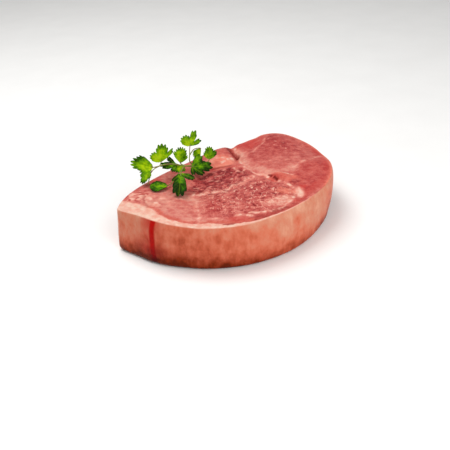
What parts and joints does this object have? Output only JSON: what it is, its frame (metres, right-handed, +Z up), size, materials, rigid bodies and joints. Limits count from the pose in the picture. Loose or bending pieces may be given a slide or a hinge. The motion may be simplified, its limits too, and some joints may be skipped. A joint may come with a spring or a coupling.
{
  "type": "raw boneless pork leg",
  "caption": "Thick slice of raw boneless pork leg with rind along one side, muscle seams on its cut face, and a parsley sprig lying on top.",
  "frame": {"origin": "on the resting face, below the middle of the slice", "axes": "+X along the slice from the fat heel corner to the lean end, +Y from the rind side to the bare back, +Z up through the cut face"},
  "size_m": [0.2466, 0.1638, 0.0852],
  "materials": {
    "meat": "satin",
    "parsley": "satin"
  },
  "bodies": {
    "root": {"pork_leg": "meat", "parsley_sprig": "parsley"}
  },
  "joints": []
}
